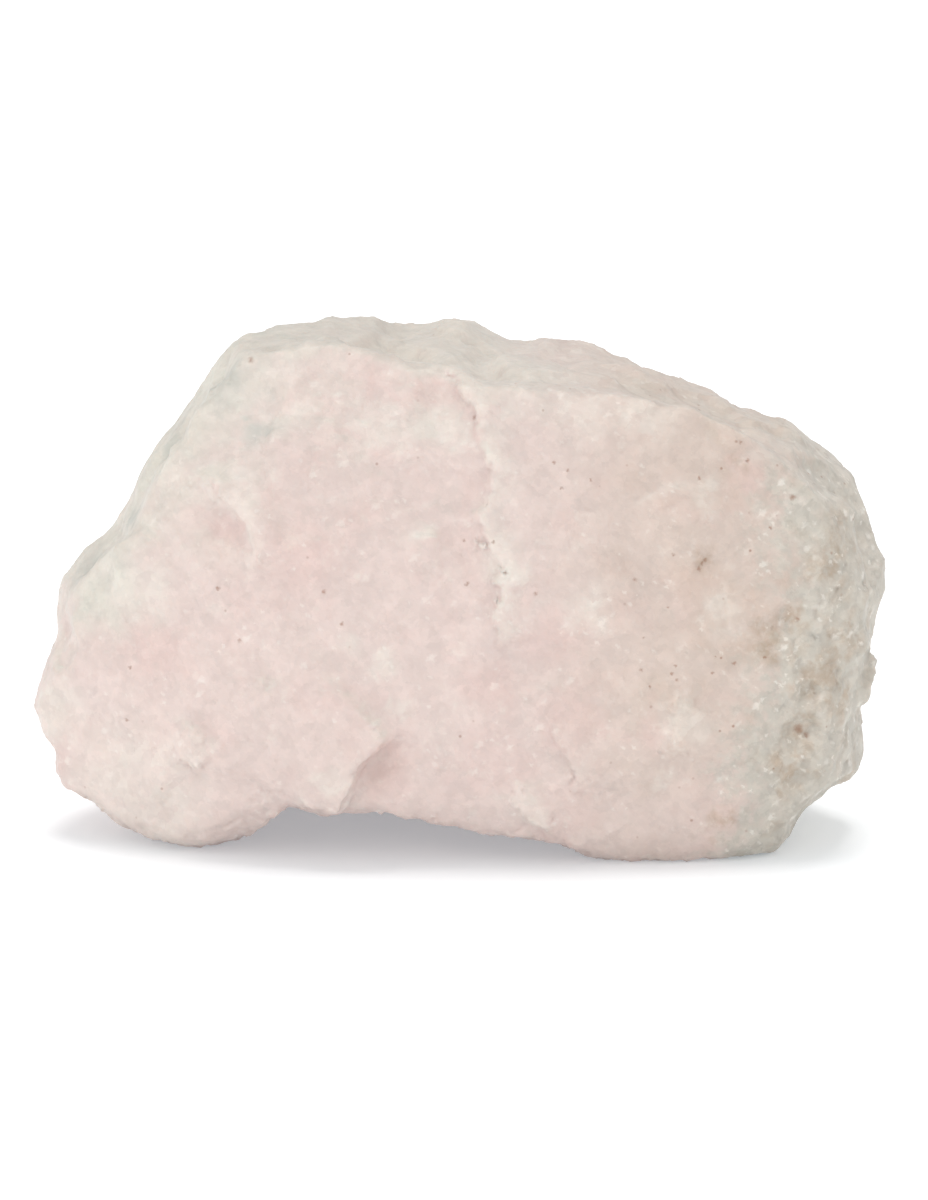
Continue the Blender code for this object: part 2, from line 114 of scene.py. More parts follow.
# Iron and manganese oxide specks on the front face: (across, up, radius).
SPECKS = (
    (-21.3, 51.3, 0.45), (1.5, 46.3, 0.35), (33.6, 38.1, 0.42), (27.8, 21.4, 0.34), (24.7, 32.1, 0.34),
    (24.4, 31.7, 0.30), (24.1, 31.2, 0.34), (29.0, 41.8, 0.32), (28.3, 43.6, 0.28), (10.8, 41.1, 0.28),
    (9.4, 41.9, 0.24), (10.2, 39.4, 0.22), (-24.6, 28.8, 0.32), (-13.8, 28.8, 0.34), (-34.4, 14.1, 0.30),
    (-22.4, 23.5, 0.32), (0.7, 29.8, 0.32), (7.6, 29.0, 0.28), (21.5, 32.7, 0.32), (17.6, 30.2, 0.34),
    (21.0, 27.4, 0.24), (-12.0, 25.5, 0.32), (-33.9, 19.8, 0.26), (3.3, 34.2, 0.26), (0.4, 34.1, 0.24),
    (24.1, 40.2, 0.24), (13.1, 40.2, 0.22), (18.5, 24.4, 0.24), (18.3, 21.1, 0.26), (21.8, 21.4, 0.26),
    (21.4, 20.6, 0.24), (21.9, 19.9, 0.24), (34.2, 25.7, 0.42), (30.9, 21.9, 0.30), (25.6, 20.5, 0.24),
    (34.6, 13.9, 0.75), (35.4, 13.2, 0.45), (25.8, 22.2, 0.22), (31.3, 35.1, 0.24), (19.2, 19.3, 0.24),
)
# Pits: a point of the surface, its radius and its depth. A depth below 0 is a low swelling.
PITS = (
    ((33.4, -19.0, 25.6), 1.4, 0.7), ((38.4, -17.0, 27.1), 1.8, 0.8), ((34.8, -18.6, 13.8), 1.9, 1.0),
    ((38.4, -17.0, 19.8), 2.0, 0.9), ((35.4, -18.6, 18.0), 1.5, 0.8), ((34.8, -18.2, 8.8), 1.8, 0.8),
    ((24.5, -20.6, 31.6), 1.1, 0.5), ((-6.0, -19.5, 9.0), 3.2, -0.9), ((-23.9, -17.4, 34.4), 1.8, 0.4),
    ((-21.3, -8.5, 51.3), 0.9, 0.4), ((1.6, -18.6, 46.2), 0.8, 0.3), ((-38.0, -7.5, 28.4), 1.8, 0.5),
)

STEPS = 6.0  # small cleavage steps between the lowest and the middle level of the fracture
LEDGE_END = 0.15  # the share of a ledge's line over which each end fades
# The weathered crust: where it begins at the height CRUST_LEVEL, how far that moves out for each
# millimetre up, how far it wanders in and out, and how wide the change is.
CRUST_FROM, CRUST_LEVEL, CRUST_TILT, CRUST_WANDER, CRUST_FADE = 24.2, 17.5, 0.2, 3.0, 10.5
# The manganese-poor part: the way to it as (across, up), how far that way it begins, and how wide
# the change is.
ASH_WAY, ASH_FROM, ASH_FADE = (-0.745, 0.667), 39.5, 11.0

WELD = 0.001 * MM  # joins the corners of the solid's loose triangles
VIEW_MIDDLE = Vector((0.38, -2.57, 24.15)) * MM
SENSOR_WIDTH = 36.0  # of the camera, in millimetres
FLOOR_SIZE = 60.0  # in metres, wide enough to reach the horizon
# Each light's azimuth from the front, its elevation and how wide it looks, in degrees.
KEY_PLACE, TABLE_PLACE = (-30.0, 58.0, 35.0), (180.0, 80.0, 30.0)


def linear(hex_colour):
    """An sRGB colour such as "#E7D4CD" as linear red, green and blue."""
    parts = (int(hex_colour[at:at + 2], 16) / 255.0 for at in (1, 3, 5))
    return tuple(part / 12.92 if part <= 0.04045 else ((part + 0.055) / 1.055) ** 2.4 for part in parts)


def length(name, description, default, **limits):
    return bpy.props.FloatProperty(name=name, description=description, default=default,
                                   unit="LENGTH", precision=5, **limits)


def colour(name, description, hex_colour):
    return bpy.props.FloatVectorProperty(name=name, description=description, size=3, min=0.0, max=1.0,
                                         subtype="COLOR", default=linear(hex_colour))


class CalciteForm(bpy.types.PropertyGroup):
    """Sizes of the broken surface."""

    cell: length("Mesh cell", "Size of the even cells that the surface is worked in", 0.36 * MM, min=0.0002)
    wear: bpy.props.IntProperty(name="Wear", description="How many times the lump's facets are eased",
                                default=10, min=0)
    front_wear: bpy.props.IntProperty(name="Front wear", description="The same for the smooth front face",
                                      default=40, min=0)
    grain: length("Cleavage grain", "Width of the crystals broken across the front", 2.3 * MM)
    crust_grain: length("Crust grain", "Width of the sugary crystals of the right-hand end", 1.6 * MM)
    step: length("Cleavage step", "Height of the small winding steps of the fracture", 0.08 * MM)
    triangles: bpy.props.IntProperty(name="Triangles", description="Triangles of the finished surface",
                                     default=190000, min=1000, max=199000)


class CalciteColours(bpy.types.PropertyGroup):
    """Colours of the calcite and of what stains it, and of the painted highlights and glints on it."""

    pink: colour("Pink", "Manganese-bearing calcite, the body of the lump", "#D8C6BF")
    rose: colour("Rose", "Where the manganese is richest", "#D6BAB3")
    # cream also paints light: the lighter tops, the lit left end and foot and the lit ledge edges
    cream_and_painted_light: colour("Cream", "Bruised and cleaved crystal that scatters the light", "#DFD7CD")
    # frost also paints glints: bright flecks standing in for light off cleavage faces, besides the white
    # sugary grains
    frost_and_glints: colour("Frost", "Fresh cleavage flecks and sugary grains", "#F0EBE3")
    ash: colour("Ash", "Manganese-poor calcite towards the upper left", "#D4D2C6")
    slate: colour("Slate", "Clayey spots in the manganese-poor calcite", "#B7B7AF")
    crust: colour("Crust", "Weathered sugary calcite of the right-hand end", "#C1BBB0")
    tan: colour("Tan", "A faint iron stain in the pink", "#C3B3A3")
    ochre: colour("Ochre", "Iron stain in the pits of the crust", "#A88C70")
    oxide: colour("Oxide", "Specks of iron and manganese oxide", "#8A5636")


class CalciteStudio(bpy.types.PropertyGroup):
    """Camera and light."""

    elevation: bpy.props.FloatProperty(name="Elevation", description="Height of the camera above level",
                                       default=math.radians(12.0), subtype="ANGLE", unit="ROTATION")
    distance: length("Distance", "From the camera to the middle of the view", 0.42252)
    lens: bpy.props.FloatProperty(name="Lens", description="Focal length on a 36 mm sensor",
                                  default=120.0, unit="CAMERA")
    key: bpy.props.FloatProperty(name="Key light", default=1.12, min=0.0,
                                 description="Strength of the large light at the upper left")
    table: bpy.props.FloatProperty(name="Table light", default=1.75, min=0.0,
                                   description="Strength of the high light on the floor alone")
    glow: bpy.props.FloatProperty(name="Glow", default=0.24, min=0.0,
                                  description="Strength of the light from below the floor")
    sky: bpy.props.FloatProperty(name="Room light", default=0.72, min=0.0,
                                 description="Strength of the light from the white room all round")


# --- shaping ---------------------------------------------------------------------------------


def only(thing):
    """Deselects everything else and makes this object the active one."""
    bpy.ops.object.select_all(action="DESELECT")
    thing.select_set(True)
    bpy.context.view_layer.objects.active = thing


def finish_with(thing, kind, **settings):
    """Adds a modifier with its settings and applies it."""
    modifier = thing.modifiers.new(kind.lower(), kind)
    for setting, value in settings.items():
        setattr(modifier, setting, value)
    bpy.ops.object.modifier_apply(modifier=modifier.name)


def smooth_step(value):
    value = np.clip(value, 0.0, 1.0)
    return value * value * (3.0 - 2.0 * value)


def read_points(mesh, what):
    values = np.empty(len(mesh.vertices) * 3)
    mesh.vertices.foreach_get(what, values)
    return values.reshape(-1, 3)


def fractal(points, size, octaves, offset=0.0):
    """Natural rise and fall, about -1 to 1, over features of this size."""
    shift = Vector((offset, 0.37 * offset, -offset))
    return np.array([noise.fractal(Vector(point / size) + shift, 0.9, 2.1, octaves) for point in points])


def own_vector(middle):
    """Three numbers from 0 to 1 for the crystal with this middle."""
    return noise.cell_vector(middle * 9.7)  # spread out, so that few crystals share a cell


def grain(points, size):
    """For each point, the height of the broken crystal that it is on, as a plane that tilts its
    own way (in units of the crystal's size), and a number from 0 to 1 of the crystal's own."""
    heights, own = np.empty(len(points)), np.empty(len(points))
    for index, point in enumerate(points):
        place = Vector(point / size)
        middle = noise.voronoi(place)[1][0]
        lean = own_vector(middle)
        heights[index] = (place - middle).dot(lean - Vector((0.5, 0.5, 0.5))) * 2.0
        own[index] = lean.x
    return heights, own


def blocks(points, size):
    """An offset of -0.5 to 0.5 each way that is the same all over one broken crystal, so that what
    it shifts gets the crystals' angular edges."""
    middles = (noise.voronoi(Vector(point / size))[1][0] for point in points)
    return np.array([own_vector(middle) for middle in middles]) - 0.5


def shelves(level):
    """Flat treads with steep risers between them, from a slowly changing level."""
    whole = np.floor(level)
    return whole + smooth_step((level - whole - 0.4) / 0.2)


def beside_line(places, line):
    """For 2D places: signed distance from a line of points, positive on its left, and how far
    along it the nearest point lies, from 0 to 1."""
    line = np.array(line, float)
    lengths = np.linalg.norm(np.diff(line, axis=0), axis=1)
    travelled = np.concatenate([[0.0], np.cumsum(lengths)])
    nearest = np.full(len(places), np.inf)
    signed, along = np.zeros(len(places)), np.zeros(len(places))
    for index, (start, end) in enumerate(zip(line, line[1:])):
        run = end - start
        offset = places - start
        share = np.clip(offset @ run / (run @ run), 0.0, 1.0)
        distance = np.linalg.norm(offset - np.outer(share, run), axis=1)
        side = np.sign(run[0] * offset[:, 1] - run[1] * offset[:, 0])
        closer = distance < nearest
        nearest[closer] = distance[closer]
        signed[closer] = (distance * side)[closer]
        along[closer] = (travelled[index] + share * lengths[index])[closer] / travelled[-1]
    return signed, along


def spots(points, places):
    """1 in the middle of any of the spots, half at its radius, and 0 well outside them all."""
    strength = np.zeros(len(points))
    for middle, radius in places:
        reach = np.linalg.norm(points - middle, axis=1) / radius
        strength = np.maximum(strength, smooth_step(1.5 - reach))
    return strength


def facing_front(normals):
    """1 where the surface faces the front, falling to 0 where it turns away."""
    return smooth_step((-normals[:, 1] - 0.2) / 0.4)


def ledge_relief(points, facing):
    """How far the ledges stand out of the front face, and how pale their edges are: white cleaved calcite,
    and in part a painted highlight of each lit step.
    """
    # the crystals' edges make the steps ragged, and they are lower here and there
    ragged = (points + 1.3 * blocks(points, 1.7) + 0.4 * blocks(points, 0.8))[:, [0, 2]]
    broken = smooth_step(0.75 + 1.3 * fractal(points, 4.0, 2, 29.0))
    rise, pale = np.zeros(len(points)), np.zeros(len(points))
    for height, fade, paleness, line in LEDGES:
        signed, along = beside_line(ragged, line)
        ends = smooth_step(along / LEDGE_END) * smooth_step((1.0 - along) / LEDGE_END) * facing
        step = smooth_step((signed + 0.3) / 0.6) * np.exp(-np.maximum(signed, 0.0) / fade)
        groove = 0.12 * np.exp(-(((signed + 0.6) / 0.5) ** 2))
        rise += height * (step - groove) * ends * (0.35 + 0.65 * broken)
        # the pale tread by each step: in part a painted highlight where the step catches the light
        tread = smooth_step((signed + 0.2) / 0.5) * np.exp(-((np.maximum(signed, 0.0) / 2.2) ** 2))
        pale = np.maximum(pale, paleness * ends * (0.3 + 0.7 * broken) * tread)
    return rise, pale


def crust_reach(points):
    """1 on the weathered right-hand end, falling to 0 across a wandering boundary."""
    boundary = CRUST_FROM + CRUST_TILT * (points[:, 2] - CRUST_LEVEL)
    boundary -= CRUST_WANDER * fractal(points, 8.0, 3, 5.0)
    return smooth_step((points[:, 0] - boundary) / CRUST_FADE)


def work_relief(points, normals, form):
    """Moves the points of the worn lump to its broken surface."""
    crust, facing = crust_reach(points), facing_front(normals)

    # winding cleavage steps
    level = fractal(points, 9.0, 3, 41.0)
    relief = (shelves(level * STEPS) / STEPS - level) * STEPS * form.step / MM * (1.0 - crust)

    # broken crystals in two sizes: faint on the front, plain behind and plainest underneath
    below = smooth_step((-normals[:, 2] - 0.1) / 0.5)
    broken = (1.0 + 1.5 * smooth_step(normals[:, 1] / 0.5) + 3.0 * below) * (1.0 - crust)
    for size, lean in ((form.grain / MM, 0.036), (0.45 * form.grain / MM, 0.045)):
        relief += grain(points, size)[0] * size * lean * broken

    # the sugary crust in two sizes: calmer behind and towards the top
    rough = crust * (0.5 + 0.5 * facing) * (1.0 - 0.5 * smooth_step((points[:, 2] - 29.0) / 9.0))
    relief += grain(points, form.crust_grain / MM)[0] * form.crust_grain / MM * 0.13 * rough
    relief += grain(points, 0.55 * form.crust_grain / MM)[0] * form.crust_grain / MM * 0.07 * rough

    # fine unevenness over all, and the pits
    relief += fractal(points, 1.3, 2, 3.0) * (0.02 + 0.04 * crust)
    for middle, radius, depth in PITS:
        reach = np.linalg.norm(points - middle, axis=1) / radius
        relief -= depth * smooth_step(1.0 - reach / 1.5)
    points += normals * relief[:, None]
    points[:, 1] -= ledge_relief(points, facing)[0]
    points[:, 2] = np.maximum(points[:, 2], 0.0)  # nothing reaches below the floor


def mark_zones(mesh, form):
    """Writes the zones of the calcite as one value from 0 to 1 for each vertex and zone."""
    points = read_points(mesh, "co") / MM
    across, up = points[:, 0], points[:, 2]
    normals = read_points(mesh, "normal")
    facing, upward = facing_front(normals), smooth_step((normals[:, 2] - 0.2) / 0.6)
    blur = np.stack([fractal(points, 3.5, 3, seed) for seed in (71.0, 83.0, 97.0)], axis=1)
    ragged = points + 1.2 * blur + 1.2 * blocks(points, 1.5)
    broad, middling = fractal(points, 15.0, 3, 51.0), fractal(points, 5.0, 4, 61.0)
    crust = crust_reach(points)
    own, crust_own = grain(points, form.grain / MM)[1], grain(points, form.crust_grain / MM)[1]
    ash_reach = (ASH_WAY[0] * across + ASH_WAY[1] * up
                 + 6.0 * broad + 2.5 * middling + 3.0 * blocks(points, 2.2)[:, 0])
    zones = {
        "rose": np.maximum(smooth_step((middling + 0.1) / 0.7) * 0.6, spots(ragged, PINK_SPOTS)),
        "ash": np.maximum(smooth_step((ash_reach - ASH_FROM) / ASH_FADE),
                          upward * smooth_step((16.0 - across + 9.0 * broad) / 14.0) * 0.8),
        "tan": (smooth_step((across - 4.0) / 20.0) * (0.45 + 0.55 * smooth_step((up - 3.0) / 14.0))
                * (0.6 + 0.4 * smooth_step((broad + middling + 0.4) / 0.8))),
        "crust": crust,
        "rust": np.maximum(crust * smooth_step((fractal(points, 2.8, 3, 31.0) + 0.1) / 0.6) * 0.5,
                           spots(ragged, STAINS)),
        # pale, partly painted light: lit ledge edges, lit spots, and faces turning upward painted lighter
        # as a painted highlight
        "pale": np.maximum(ledge_relief(points, facing)[1],
                           np.maximum(spots(ragged, PALE_SPOTS) * 0.6,
                                      upward * smooth_step((across + 14.0) / 16.0) * 0.55)),
        "grey": spots(ragged, GREY_SPOTS),
        "crystal": own * (1.0 - crust) + crust_own * crust,
    }
    for name, values in zones.items():
        mesh.attributes.new(name, "FLOAT", "POINT").data.foreach_set("value", values.astype(np.float32))


def onto_front(stone, across, up):
    """The point of the stone's front at this place, in millimetres, met from well before it."""
    found, place, _, _ = stone.ray_cast(Vector((across, -60.0, up)) * MM, Vector((0.0, 1.0, 0.0)))
    if not found:
        raise ValueError(f"The front has no surface at {across}, {up}")
    return place / MM


def work_stone(form):
    """The lump: the solid's faceted form, worn a little and broken again at the crystals' scale."""
    stone = bpy.data.objects.new("calcite_lump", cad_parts[NODE].data.copy())
    bpy.context.scene.collection.objects.link(stone)
    stone.data.materials.clear()
    only(stone)
    bpy.ops.object.mode_set(mode="EDIT")
    bpy.ops.mesh.select_all(action="SELECT")
    bpy.ops.mesh.remove_doubles(threshold=WELD)
    bpy.ops.mesh.normals_make_consistent(inside=False)
    bpy.ops.object.mode_set(mode="OBJECT")
    finish_with(stone, "REMESH", mode="VOXEL", voxel_size=form.cell)

    # the front face is eased most, and the crust's share of it less
    front = stone.vertex_groups.new(name="front")
    points, normals = read_points(stone.data, "co") / MM, read_points(stone.data, "normal")
    share = smooth_step((-normals[:, 1] - 0.55) / 0.35) * (1.0 - 0.7 * crust_reach(points))
    for index in np.flatnonzero(share > 0.02):
        front.add([int(index)], share[index], "REPLACE")
    finish_with(stone, "SMOOTH", factor=0.5, iterations=form.front_wear, vertex_group=front.name)
    # smoothed and swelled back in turn, so that edges wear and the size stays
    for _ in range(form.wear):
        finish_with(stone, "SMOOTH", factor=0.5, iterations=1)
        finish_with(stone, "SMOOTH", factor=-0.53, iterations=1)

    mesh = stone.data
    points = read_points(mesh, "co") / MM
    work_relief(points, read_points(mesh, "normal"), form)
    mesh.vertices.foreach_set("co", (points * MM).ravel())
    mesh.update()
    # each face is a quad still, of two triangles
    finish_with(stone, "DECIMATE", ratio=min(1.0, form.triangles / (2.0 * len(mesh.polygons))))
    mark_zones(stone.data, form)
    bpy.ops.object.shade_smooth()
    return stone


# --- finish ----------------------------------------------------------------------------------

# A RANGE node's inputs are 0 the value, 1 and 2 the ends that it runs between, and 3 and 4 what it
# gives at them, which is 0 and 1 unless stated. A MIX node's are 0 the share, and 6 and 7 the two
# colours.
MATH, MIX, RANGE = "ShaderNodeMath", "ShaderNodeMix", "ShaderNodeMapRange"
VECTOR, SPLIT = "ShaderNodeVectorMath", "ShaderNodeSeparateColor"
NOISE, CELLS = "ShaderNodeTexNoise", "ShaderNodeTexVoronoi"
SMOOTH = {"interpolation_type": "SMOOTHSTEP"}

ZONES = ("ash", "tan", "rose", "crust", "rust", "grey", "pale", "crystal")
# How much of its own colour each zone shows where it is full, and the oxide in its specks.
SHOWS = {"ash": 0.8, "tan": 0.82, "rose": 0.46, "crust": 0.95, "rust": 0.5, "grey": 0.65, "oxide": 0.6}
# The two sizes of crystal that show on the broken surface: width in millimetres, how it is
# turned, and how rare its bright flecks are, partly white grains and partly painted glints of cleavage.
CRYSTALS = ((1.0, (0.4, 0.9, 0.3), 0.84), (0.55, (-0.5, -0.7, 1.1), 0.82))
# How bright the flecks are, which are partly painted glints, and how far the crystals' own shades
# lie apart: in the body of the stone, and how much more in its crust.
GLINTS_AND_FLECKS, GLINTS_AND_FLECKS_IN_CRUST = 0.3, 0.16
SHADES, SHADES_IN_CRUST = 0.05, 0.04
SPECK_GRID = 1.4  # between the fine oxide specks, in millimetres
UNEVEN = 0.5  # how far the ragged shapes are moved at most, in millimetres


def add(tree, kind, inputs=None, **settings):
    """Adds a node with its settings. An input is given as a value, as the socket to link to it, or
    as the node whose first output in use is linked to it."""
    node = tree.nodes.new(kind)
    for setting, value in settings.items():
        setattr(node, setting, value)
    for name, value in (inputs or {}).items():
        if isinstance(value, bpy.types.Node):
            value = next(output for output in value.outputs if output.enabled)
        if isinstance(value, bpy.types.NodeSocket):
            tree.links.new(value, node.inputs[name])
        else:
            node.inputs[name].default_value = value
    return node


def opaque(rgb):
    return (*rgb, 1.0)


def cloud(tree, mm, size, seed, detail=3.0, roughness=0.55):
    """Noise, 0 to 1, over features of this many millimetres, with the seed as its place."""
    moved = add(tree, VECTOR, {0: mm, 1: (seed, seed * 0.7, -seed)}, operation="ADD")
    return add(tree, NOISE, {"Vector": moved, "Scale": 1.0 / size, "Detail": detail,
                             "Roughness": roughness})


def crystals(tree, places, size, turn):
    """Angular crystals, this many millimetres wide one way and longer the other two: how far from
    the middle of its crystal a place is, and three numbers from 0 to 1 of the crystal's own."""
    turned = add(tree, "ShaderNodeMapping", {
        "Vector": places, "Rotation": turn, "Scale": (size, 1.3 * size, 1.8 * size),
    }, vector_type="TEXTURE")
    cells = add(tree, CELLS, {"Vector": turned, "Scale": 1.0}, distance="MANHATTAN").outputs
    return cells["Distance"], add(tree, SPLIT, {0: cells["Color"]}).outputs


def ragged_crust(tree, mm, zones):
    """The reach of the weathered crust, with a ragged edge."""
    ragged = add(tree, RANGE, {0: cloud(tree, mm, size=1.3, seed=59.0, roughness=0.6),
                               1: 0.3, 2: 0.7, 3: -0.25, 4: 0.25}, **SMOOTH)
    reach = add(tree, MATH, {0: zones["crust"], 1: ragged}, operation="ADD")
    return add(tree, RANGE, {0: reach, 1: 0.05, 2: 0.95}, **SMOOTH)


def stained_body(tree, mm, mottle, crust, zones, colours):
    """The pink body, richer where there is more manganese and ashen where there is less, with the
    crust at its end, rust smeared in the crust and clay in the ashen part."""
    share = {name: add(tree, MATH, {0: zones[name], 1: SHOWS[name]}, operation="MULTIPLY")
             for name in ("ash", "tan", "rose", "rust", "grey")}
    less_rose = add(tree, RANGE, {0: zones["ash"], 1: 0.0, 2: 1.0, 3: 1.0, 4: 0.4}, **SMOOTH)
    rose = add(tree, MATH, {0: share["rose"], 1: less_rose}, operation="MULTIPLY")
    weathered = add(tree, MATH, {0: crust, 1: SHOWS["crust"]}, operation="MULTIPLY")
    smears = add(tree, RANGE, {0: cloud(tree, mm, size=1.5, seed=31.0, detail=4.0, roughness=0.65),
                               1: 0.38, 2: 0.62, 3: 0.15, 4: 1.0}, **SMOOTH)
    rust = add(tree, MATH, {0: share["rust"], 1: smears}, operation="MULTIPLY")
    hollows = add(tree, RANGE, {0: mottle, 1: 0.3, 2: 0.5, 3: 1.0, 4: 0.0}, **SMOOTH)
    faint_ash = add(tree, MATH, {0: zones["ash"], 1: 0.3}, operation="MULTIPLY")
    clay = add(tree, MATH, {0: faint_ash, 1: hollows}, operation="MULTIPLY")
    grey = add(tree, MATH, {0: share["grey"], 1: clay}, operation="MAXIMUM")

    tone = opaque(colours.pink)
    for shown, over in ((share["ash"], colours.ash), (share["tan"], colours.tan), (rose, colours.rose),
                        (weathered, colours.crust), (rust, colours.ochre), (grey, colours.slate)):
        tone = add(tree, MIX, {0: shown, 6: tone, 7: opaque(over)}, data_type="RGBA")
    return tone


def cleaved(tree, mm, shifted, mottle, crust, zones, colours, tone):
    """Cleaved edges and bruises scatter white, with painted highlights carried in the pale zone, and
    the bright flecks are partly white grains and partly painted glints; every crystal has a shade of
    its own. Gives the tone with them, and how bright the flecks are."""
    spread = add(tree, RANGE, {0: cloud(tree, mm, size=4.0, seed=23.0, detail=2.0),
                               1: 0.35, 2: 0.65, 3: -0.08, 4: 0.06}, **SMOOTH)
    in_crust = add(tree, MATH, {0: crust, 1: 0.08}, operation="MULTIPLY")
    clustered = add(tree, MATH, {0: in_crust, 1: spread}, operation="ADD")
    flecks, shades, bruises = [], [], []
    for size, turn, rare in CRYSTALS:
        distance, own = crystals(tree, shifted, size, turn)
        chance = add(tree, MATH, {0: own[0], 1: clustered}, operation="ADD")
        chosen = add(tree, RANGE, {0: chance, 1: rare, 2: 1.0}, **SMOOTH)
        middle = add(tree, RANGE, {0: distance, 1: 0.2, 2: 0.65, 3: 1.0, 4: 0.0}, **SMOOTH)
        flecks.append(add(tree, MATH, {0: chosen, 1: middle}, operation="MULTIPLY"))
        shades.append(add(tree, RANGE, {0: own[1], 1: 0.0, 2: 1.0, 3: -0.5, 4: 0.5}, **SMOOTH))
        bruises.append(own[2])

    # the pale zone: bruised calcite and, in part, painted light: lighter tops, lit left end and foot, lit
    # ledge edges
    broken = add(tree, RANGE, {0: bruises[0], 1: 0.0, 2: 1.0, 3: 0.55, 4: 1.0}, **SMOOTH)
    edges = add(tree, MATH, {0: zones["pale"], 1: broken}, operation="MULTIPLY")
    milky = add(tree, RANGE, {0: mottle, 1: 0.56, 2: 0.76, 3: 0.0, 4: 0.4}, **SMOOTH)
    pale = add(tree, MATH, {0: edges, 1: milky}, operation="MAXIMUM")
    tone = add(tree, MIX, {0: pale, 6: tone, 7: opaque(colours.cream_and_painted_light)}, data_type="RGBA")

    # the flecks: white grains, and in part painted glints of light off cleavage faces
    bright = add(tree, MATH, {0: flecks[0], 1: flecks[1]}, operation="MAXIMUM")
    more = add(tree, MATH, {0: crust, 1: GLINTS_AND_FLECKS_IN_CRUST}, operation="MULTIPLY")
    strength = add(tree, MATH, {0: more, 1: GLINTS_AND_FLECKS}, operation="ADD")
    bright = add(tree, MATH, {0: bright, 1: strength}, operation="MULTIPLY")
    less_in_ash = add(tree, RANGE, {0: zones["ash"], 1: 0.0, 2: 1.0, 3: 1.0, 4: 0.5}, **SMOOTH)
    bright = add(tree, MATH, {0: bright, 1: less_in_ash}, operation="MULTIPLY")
    tone = add(tree, MIX, {0: bright, 6: tone, 7: opaque(colours.frost_and_glints)}, data_type="RGBA")

    own = add(tree, MATH, {0: shades[0], 1: shades[1]}, operation="ADD")
    face = add(tree, RANGE, {0: zones["crystal"], 1: 0.0, 2: 1.0, 3: -0.5, 4: 0.5}, **SMOOTH)
    own = add(tree, MATH, {0: own, 1: face}, operation="ADD")
    more = add(tree, MATH, {0: crust, 1: SHADES_IN_CRUST}, operation="MULTIPLY")
    strength = add(tree, MATH, {0: more, 1: SHADES}, operation="ADD")
    own = add(tree, MATH, {0: own, 1: strength}, operation="MULTIPLY")
    broad = add(tree, RANGE, {0: mottle, 1: 0.25, 2: 0.75, 3: 0.98, 4: 1.01}, **SMOOTH)
    shade = add(tree, MATH, {0: own, 1: broad}, operation="ADD")
    return add(tree, VECTOR, {0: tone, "Scale": shade}, operation="SCALE"), bright


def specked(tree, mm, shifted, specks, zones, colours, tone):
    """Oxide specks: the plain ones by place, and a scatter of finer ones, more where it is tan."""
    speck = 0.0
    for middle, radius in specks:
        # moved as far as the uneven places are on the whole
        shifted_middle = middle + 0.5 * UNEVEN * Vector((1.0, 1.0, 1.0))
        gap = add(tree, VECTOR, {0: shifted, 1: shifted_middle}, operation="DISTANCE")
        dot = add(tree, RANGE, {0: gap, 1: 0.0, 2: radius * 1.1, 3: 1.0, 4: 0.0}, **SMOOTH)
        speck = add(tree, MATH, {0: speck, 1: dot}, operation="MAXIMUM")
    seeds = add(tree, CELLS, {"Vector": mm, "Scale": 1.0 / SPECK_GRID}).outputs
    own = add(tree, SPLIT, {0: seeds["Color"]}).outputs
    more_in_tan = add(tree, MATH, {0: zones["tan"], 1: 0.26}, operation="MULTIPLY")
    chance = add(tree, MATH, {0: own[0], 1: more_in_tan}, operation="ADD")
    chosen = add(tree, RANGE, {0: chance, 1: 0.93, 2: 0.96}, **SMOOTH)
    dots = add(tree, RANGE, {0: seeds["Distance"], 1: 0.05, 2: 0.16, 3: 1.0, 4: 0.0}, **SMOOTH)
    fine = add(tree, MATH, {0: dots, 1: chosen}, operation="MULTIPLY")
    depth = add(tree, RANGE, {0: own[1], 1: 0.0, 2: 1.0, 3: 0.35, 4: 1.0}, **SMOOTH)
    fine = add(tree, MATH, {0: fine, 1: depth}, operation="MULTIPLY")
    speck = add(tree, MATH, {0: speck, 1: fine}, operation="MAXIMUM")
    shown = add(tree, MATH, {0: speck, 1: SHOWS["oxide"]}, operation="MULTIPLY")
    return add(tree, MIX, {0: shown, 6: tone, 7: opaque(colours.oxide)}, data_type="RGBA")


